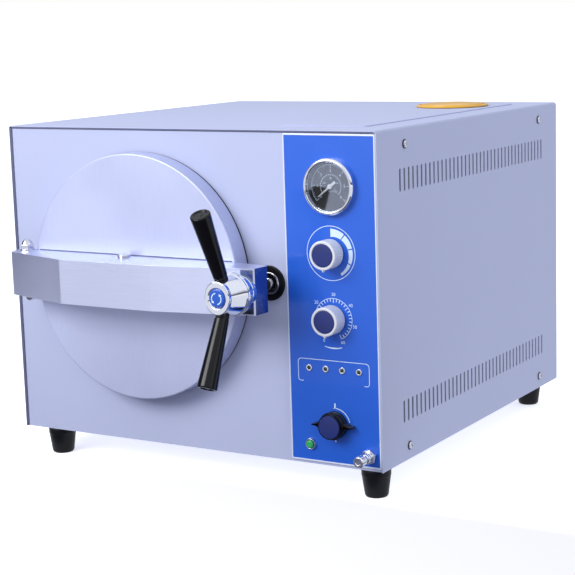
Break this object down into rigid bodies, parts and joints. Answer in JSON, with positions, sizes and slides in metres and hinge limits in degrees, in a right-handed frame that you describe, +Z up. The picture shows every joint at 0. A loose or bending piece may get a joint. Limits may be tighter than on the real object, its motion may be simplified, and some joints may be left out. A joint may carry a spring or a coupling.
{
  "type": "benchtop autoclave",
  "caption": "Box-shaped benchtop steam steriliser with a round door on a swinging cross bar, a lever handwheel lock, and a column of gauge, dials and lamps beside it.",
  "frame": {"origin": "on the bench surface, under the middle of the whole object with the door shut", "axes": "+X the machine's right, +Y its back (the door faces -Y), +Z up"},
  "size_m": [0.486, 0.6493, 0.3925],
  "materials": {
    "case_paint": "pale lavender-grey gloss stove enamel",
    "fascia_blue": "blue gloss printed sheet",
    "trim_white": "white satin",
    "screw_steel": "bright zinc",
    "rubber_black": "moulded black rubber",
    "silicone": "translucent grey silicone",
    "frame_steel": "grey primer",
    "stainless": "satin stainless",
    "brushed_stainless": "fine straight-brushed stainless",
    "door_core": "machined stainless",
    "polished_steel": "polished",
    "chrome": "bright chrome plate",
    "lever_black": "black gloss phenolic",
    "cap_blue": "dark blue plastic",
    "knob_white": "white plastic",
    "insulation": "glass-fibre blanket",
    "tank_plastic": "natural polyethylene",
    "filler_yellow": "yellow plastic",
    "copper_pipe": "drawn copper tube",
    "brass_fitting": "machined brass",
    "dark_plastic": "black moulded plastic",
    "dial_print": "dark printed dial",
    "pointer_white": "white enamel",
    "clear_glass": "clear flat glass",
    "lamp_green": "dark green lens",
    "button_green": "green plastic"
  },
  "bodies": {
    "cabinet": {"front_panel": "case_paint", "outer_cover": "case_paint", "rear_panel": "case_paint", "base_tray": "case_paint", "tank_hatch": "case_paint", "control_panel": "fascia_blue", "fascia_trim": "trim_white", "screws": "screw_steel", "lamp_bezels": "screw_steel", "feet": "rubber_black", "lock_grommet": "rubber_black", "front_frame": "frame_steel", "vessel_saddles": "frame_steel", "tank_bracket": "frame_steel", "hinge_bracket": "frame_steel", "chamber_flange": "stainless", "chamber_vessel": "stainless", "heater_tube": "stainless", "tray_rack": "stainless", "trays": "stainless", "lock_nut": "polished_steel", "reset_bezel": "polished_steel", "gauge_bezel": "chrome", "drain_valve_body": "chrome", "insulation_jacket": "insulation", "water_tank": "tank_plastic", "steam_pipe": "copper_pipe", "safety_valve": "brass_fitting", "exhaust_spigot": "brass_fitting", "selector_valve": "brass_fitting", "power_inlet": "dark_plastic", "pressure_controller": "dark_plastic", "timer_unit": "dark_plastic", "gauge_case": "dark_plastic", "gauge_dial": "dial_print", "gauge_glass": "clear_glass", "lamp_lenses": "lamp_green"},
    "door": {"crossbar": "brushed_stainless", "door_cover": "brushed_stainless", "door_plate": "door_core", "door_seal": "silicone", "pivot_block": "door_core", "centre_pin": "polished_steel", "hinge_pin": "polished_steel"},
    "thrust_carrier": {"thrust_collar": "polished_steel"},
    "handwheel": {"spindle": "polished_steel", "handwheel_hub": "chrome", "levers": "lever_black", "hub_cap": "cap_blue"},
    "gauge_needle": {"gauge_pointer": "pointer_white"},
    "pressure_dial": {"pressure_knob": "knob_white", "pressure_knob_cap": "cap_blue"},
    "timer_dial": {"timer_knob": "knob_white", "timer_knob_cap": "cap_blue"},
    "selector": {"selector_knob": "lever_black", "selector_knob_cap": "cap_blue"},
    "reset": {"reset_button": "button_green"},
    "drain_valve": {"drain_valve_knob": "chrome"},
    "tank_cap": {"filler_cap": "filler_yellow"},
    "relief_pull": {"relief_ring": "screw_steel"}
  },
  "joints": [
    {"name": "door_swing", "type": "hinge", "parent": "cabinet", "child": "door", "pos_m": [-0.1975, -0.217, 0.223], "axis": [0, 0, -1], "range_deg": [0, 120]},
    {"name": "spindle_travel", "type": "slide", "parent": "door", "child": "thrust_carrier", "axis": [0, -1, 0], "range_m": [0, 0.01201]},
    {"name": "handwheel_turn", "type": "hinge", "parent": "thrust_carrier", "child": "handwheel", "pos_m": [0.1082, -0.267, 0.223], "axis": [0, -1, 0], "range_deg": [0, 1080]},
    {"name": "gauge_needle_turn", "type": "hinge", "parent": "cabinet", "child": "gauge_needle", "pos_m": [0.186, -0.1896, 0.3284], "axis": [0, 1, 0], "range_deg": [0, 264], "stiffness_Nm_per_rad": 0.001, "springref_deg": -20.05},
    {"name": "pressure_set", "type": "hinge", "parent": "cabinet", "child": "pressure_dial", "pos_m": [0.1845, -0.197, 0.2589], "axis": [0, 1, 0], "range_deg": [0, 300]},
    {"name": "timer_set", "type": "hinge", "parent": "cabinet", "child": "timer_dial", "pos_m": [0.1845, -0.197, 0.1895], "axis": [0, 1, 0], "range_deg": [0, 309]},
    {"name": "selector_turn", "type": "hinge", "parent": "cabinet", "child": "selector", "pos_m": [0.1845, -0.195, 0.0765], "axis": [0, 1, 0], "range_deg": [0, 270]},
    {"name": "reset_press", "type": "slide", "parent": "cabinet", "child": "reset", "axis": [0, 1, 0], "range_m": [0, 0.0025], "stiffness_N_per_m": 600, "springref_m": -0.001},
    {"name": "drain_turn", "type": "hinge", "parent": "cabinet", "child": "drain_valve", "pos_m": [0.2258, -0.207, 0.047], "axis": [0, -1, 0], "range_deg": [0, 720]},
    {"name": "cap_lift", "type": "slide", "parent": "cabinet", "child": "tank_cap", "axis": [0, 0, 1], "range_m": [0, 0.06]},
    {"name": "relief_pull_out", "type": "slide", "parent": "cabinet", "child": "relief_pull", "axis": [0, 1, 0], "range_m": [0, 0.003], "stiffness_N_per_m": 2500, "springref_m": -0.002}
  ],
  "couplings": [
    {"joint": "spindle_travel", "follows": "handwheel_turn", "m_per_rad": 0.00063662}
  ]
}
